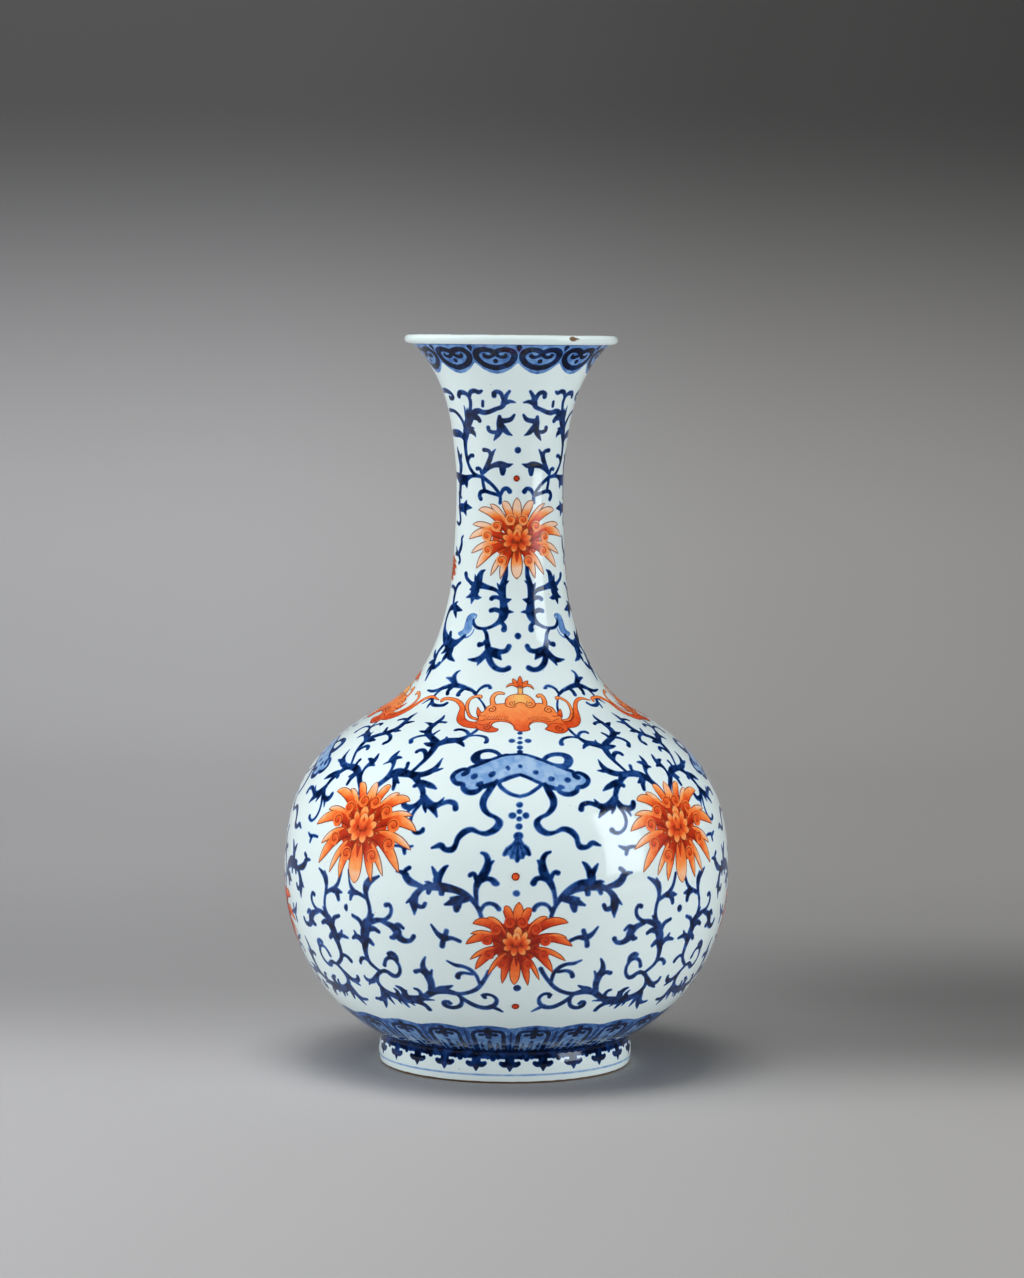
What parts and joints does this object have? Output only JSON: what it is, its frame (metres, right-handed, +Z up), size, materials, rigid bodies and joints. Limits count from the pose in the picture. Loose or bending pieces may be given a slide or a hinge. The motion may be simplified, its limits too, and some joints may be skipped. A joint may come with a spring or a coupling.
{
  "type": "baluster vase",
  "caption": "Glazed porcelain baluster vase with a round belly, a long waisted neck, a trumpet mouth with a rolled lip, and a low foot ring.",
  "frame": {"origin": "centre of the foot ring in the plane that it stands on", "axes": "+Z up along the axis of revolution, -Y towards the side with a bat over a chime"},
  "size_m": [0.2322, 0.2322, 0.385],
  "materials": {
    "painted_glaze": "glossy bluish-white glaze over cobalt-blue painting, with iron-red enamel on the glaze",
    "foot_porcelain": "glazed foot with a bare, brown-fired rim where it stands",
    "slip": "matt fired porcelain slip",
    "iron_red": "thin overglaze iron-red enamel, slightly raised and a little less glossy than the glaze"
  },
  "bodies": {
    "root": {"foot_ring": "foot_porcelain", "foot_slip_seam": "slip", "lower_belly": "painted_glaze", "belly_slip_seam": "slip", "upper_belly": "painted_glaze", "neck_slip_seam": "slip", "neck": "painted_glaze", "mouth_slip_seam": "slip", "mouth": "painted_glaze"}
  },
  "joints": []
}
